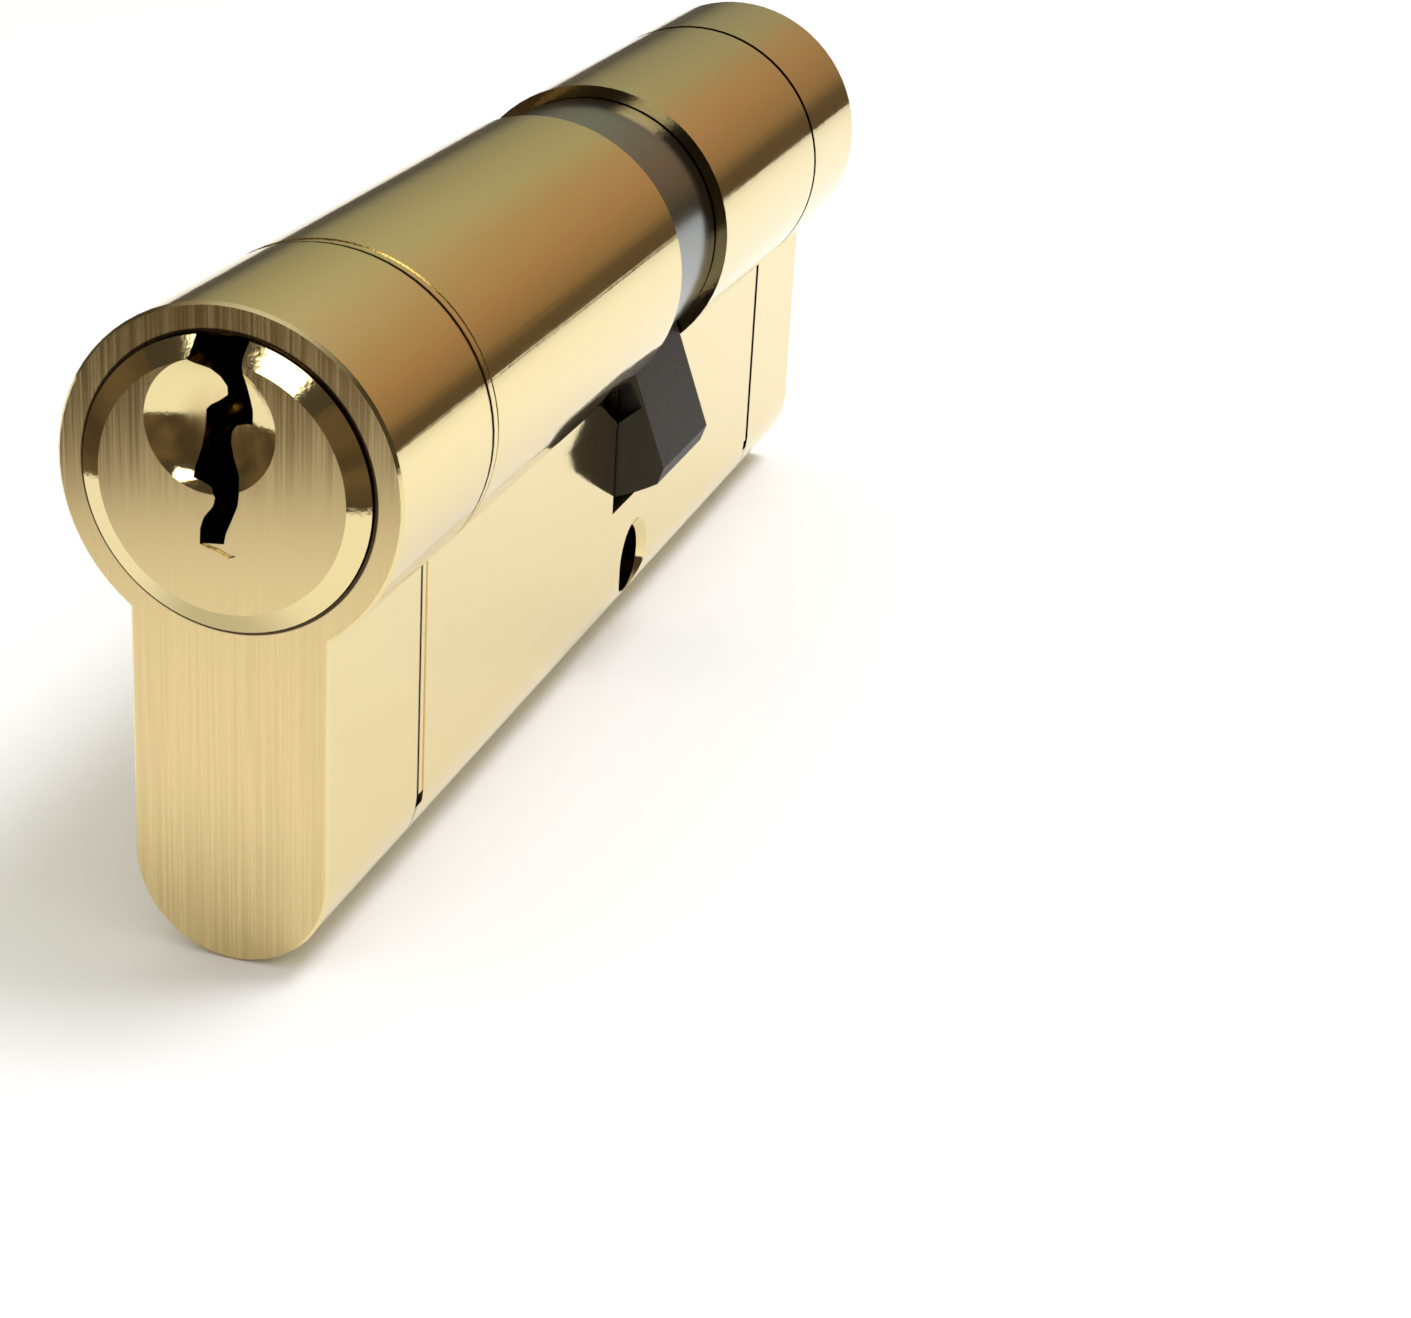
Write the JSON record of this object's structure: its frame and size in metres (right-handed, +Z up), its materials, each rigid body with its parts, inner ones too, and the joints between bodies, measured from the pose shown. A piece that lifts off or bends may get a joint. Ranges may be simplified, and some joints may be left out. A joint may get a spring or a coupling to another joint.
{
  "type": "double euro profile lock cylinder",
  "caption": "Double euro profile cylinder: keyed plugs at both ends turn a central cam that throws a mortice lock's bolt; pin stacks lock each plug.",
  "frame": {"origin": "middle of the fixing screw's cross hole, halfway through the web", "axes": "+Y along the barrel from the outside end to the inside end, +X to the right seen from the outside, +Z up from the web to the barrel"},
  "size_m": [0.017, 0.0814, 0.033],
  "materials": {
    "housing_brass": "polished sides, vertically brushed end faces",
    "front_plug_brass": "brushed face, polished bevel and key guide",
    "rear_plug_brass": "brushed face, polished bevel and key guide",
    "cam_steel": "satin sintered steel",
    "clip_steel": "plain spring steel",
    "coupler_brass": "machined",
    "spring_steel": "drawn wire",
    "chamber_plug_brass": "polished with the foot",
    "key_pin_brass": "machined",
    "driver_pin_steel": "machined"
  },
  "bodies": {
    "housing": {"housing": "housing_brass", "front_chamber_plugs": "chamber_plug_brass", "rear_chamber_plugs": "chamber_plug_brass", "front_pin_spring_1": "spring_steel", "front_pin_spring_2": "spring_steel", "front_pin_spring_3": "spring_steel", "front_pin_spring_4": "spring_steel", "front_pin_spring_5": "spring_steel", "rear_pin_spring_1": "spring_steel", "rear_pin_spring_2": "spring_steel", "rear_pin_spring_3": "spring_steel", "rear_pin_spring_4": "spring_steel", "rear_pin_spring_5": "spring_steel"},
    "front_plug": {"front_plug": "front_plug_brass", "front_clip": "clip_steel"},
    "rear_plug": {"rear_plug": "rear_plug_brass", "rear_clip": "clip_steel"},
    "cam": {"cam": "cam_steel"},
    "clutch": {"front_coupler": "coupler_brass", "rear_coupler": "coupler_brass", "coupler_spring": "spring_steel"},
    "front_key_pin_1": {"front_key_pin_1": "key_pin_brass"},
    "front_driver_pin_1": {"front_driver_pin_1": "driver_pin_steel"},
    "front_key_pin_2": {"front_key_pin_2": "key_pin_brass"},
    "front_driver_pin_2": {"front_driver_pin_2": "driver_pin_steel"},
    "front_key_pin_3": {"front_key_pin_3": "key_pin_brass"},
    "front_driver_pin_3": {"front_driver_pin_3": "driver_pin_steel"},
    "front_key_pin_4": {"front_key_pin_4": "key_pin_brass"},
    "front_driver_pin_4": {"front_driver_pin_4": "driver_pin_steel"},
    "front_key_pin_5": {"front_key_pin_5": "key_pin_brass"},
    "front_driver_pin_5": {"front_driver_pin_5": "driver_pin_steel"},
    "rear_key_pin_1": {"rear_key_pin_1": "key_pin_brass"},
    "rear_driver_pin_1": {"rear_driver_pin_1": "driver_pin_steel"},
    "rear_key_pin_2": {"rear_key_pin_2": "key_pin_brass"},
    "rear_driver_pin_2": {"rear_driver_pin_2": "driver_pin_steel"},
    "rear_key_pin_3": {"rear_key_pin_3": "key_pin_brass"},
    "rear_driver_pin_3": {"rear_driver_pin_3": "driver_pin_steel"},
    "rear_key_pin_4": {"rear_key_pin_4": "key_pin_brass"},
    "rear_driver_pin_4": {"rear_driver_pin_4": "driver_pin_steel"},
    "rear_key_pin_5": {"rear_key_pin_5": "key_pin_brass"},
    "rear_driver_pin_5": {"rear_driver_pin_5": "driver_pin_steel"}
  },
  "joints": [
    {"name": "front_plug_turn", "type": "hinge", "parent": "housing", "child": "front_plug", "pos_m": [0, 0, 0.0195], "axis": [0, 1, 0], "continuous": true},
    {"name": "rear_plug_turn", "type": "hinge", "parent": "housing", "child": "rear_plug", "pos_m": [0, 0, 0.0195], "axis": [0, 1, 0], "continuous": true},
    {"name": "cam_turn", "type": "hinge", "parent": "housing", "child": "cam", "pos_m": [0, 0, 0.0195], "axis": [0, 1, 0], "continuous": true},
    {"name": "clutch_shift", "type": "slide", "parent": "cam", "child": "clutch", "axis": [0, 1, 0], "range_m": [0, 0.0012]},
    {"name": "front_key_pin_1_lift", "type": "slide", "parent": "front_plug", "child": "front_key_pin_1", "axis": [0, 0, 1], "range_m": [0, 0.0015]},
    {"name": "front_driver_pin_1_press", "type": "slide", "parent": "housing", "child": "front_driver_pin_1", "axis": [0, 0, 1], "range_m": [-0.002, 0], "stiffness_N_per_m": 200, "springref_m": 0.002, "deforming": ["front_pin_spring_1"]},
    {"name": "front_key_pin_2_lift", "type": "slide", "parent": "front_plug", "child": "front_key_pin_2", "axis": [0, 0, 1], "range_m": [0, 0.0015]},
    {"name": "front_driver_pin_2_press", "type": "slide", "parent": "housing", "child": "front_driver_pin_2", "axis": [0, 0, 1], "range_m": [-0.002, 0], "stiffness_N_per_m": 200, "springref_m": 0.002, "deforming": ["front_pin_spring_2"]},
    {"name": "front_key_pin_3_lift", "type": "slide", "parent": "front_plug", "child": "front_key_pin_3", "axis": [0, 0, 1], "range_m": [0, 0.0015]},
    {"name": "front_driver_pin_3_press", "type": "slide", "parent": "housing", "child": "front_driver_pin_3", "axis": [0, 0, 1], "range_m": [-0.002, 0], "stiffness_N_per_m": 200, "springref_m": 0.002, "deforming": ["front_pin_spring_3"]},
    {"name": "front_key_pin_4_lift", "type": "slide", "parent": "front_plug", "child": "front_key_pin_4", "axis": [0, 0, 1], "range_m": [0, 0.0015]},
    {"name": "front_driver_pin_4_press", "type": "slide", "parent": "housing", "child": "front_driver_pin_4", "axis": [0, 0, 1], "range_m": [-0.002, 0], "stiffness_N_per_m": 200, "springref_m": 0.002, "deforming": ["front_pin_spring_4"]},
    {"name": "front_key_pin_5_lift", "type": "slide", "parent": "front_plug", "child": "front_key_pin_5", "axis": [0, 0, 1], "range_m": [0, 0.0015]},
    {"name": "front_driver_pin_5_press", "type": "slide", "parent": "housing", "child": "front_driver_pin_5", "axis": [0, 0, 1], "range_m": [-0.002, 0], "stiffness_N_per_m": 200, "springref_m": 0.002, "deforming": ["front_pin_spring_5"]},
    {"name": "rear_key_pin_1_lift", "type": "slide", "parent": "rear_plug", "child": "rear_key_pin_1", "axis": [0, 0, 1], "range_m": [0, 0.0015]},
    {"name": "rear_driver_pin_1_press", "type": "slide", "parent": "housing", "child": "rear_driver_pin_1", "axis": [0, 0, 1], "range_m": [-0.002, 0], "stiffness_N_per_m": 200, "springref_m": 0.002, "deforming": ["rear_pin_spring_1"]},
    {"name": "rear_key_pin_2_lift", "type": "slide", "parent": "rear_plug", "child": "rear_key_pin_2", "axis": [0, 0, 1], "range_m": [0, 0.0015]},
    {"name": "rear_driver_pin_2_press", "type": "slide", "parent": "housing", "child": "rear_driver_pin_2", "axis": [0, 0, 1], "range_m": [-0.002, 0], "stiffness_N_per_m": 200, "springref_m": 0.002, "deforming": ["rear_pin_spring_2"]},
    {"name": "rear_key_pin_3_lift", "type": "slide", "parent": "rear_plug", "child": "rear_key_pin_3", "axis": [0, 0, 1], "range_m": [0, 0.0015]},
    {"name": "rear_driver_pin_3_press", "type": "slide", "parent": "housing", "child": "rear_driver_pin_3", "axis": [0, 0, 1], "range_m": [-0.002, 0], "stiffness_N_per_m": 200, "springref_m": 0.002, "deforming": ["rear_pin_spring_3"]},
    {"name": "rear_key_pin_4_lift", "type": "slide", "parent": "rear_plug", "child": "rear_key_pin_4", "axis": [0, 0, 1], "range_m": [0, 0.0015]},
    {"name": "rear_driver_pin_4_press", "type": "slide", "parent": "housing", "child": "rear_driver_pin_4", "axis": [0, 0, 1], "range_m": [-0.002, 0], "stiffness_N_per_m": 200, "springref_m": 0.002, "deforming": ["rear_pin_spring_4"]},
    {"name": "rear_key_pin_5_lift", "type": "slide", "parent": "rear_plug", "child": "rear_key_pin_5", "axis": [0, 0, 1], "range_m": [0, 0.0015]},
    {"name": "rear_driver_pin_5_press", "type": "slide", "parent": "housing", "child": "rear_driver_pin_5", "axis": [0, 0, 1], "range_m": [-0.002, 0], "stiffness_N_per_m": 200, "springref_m": 0.002, "deforming": ["rear_pin_spring_5"]}
  ],
  "couplings": [
    {"joint": "front_plug_turn", "follows": "cam_turn", "ratio": 1}
  ]
}
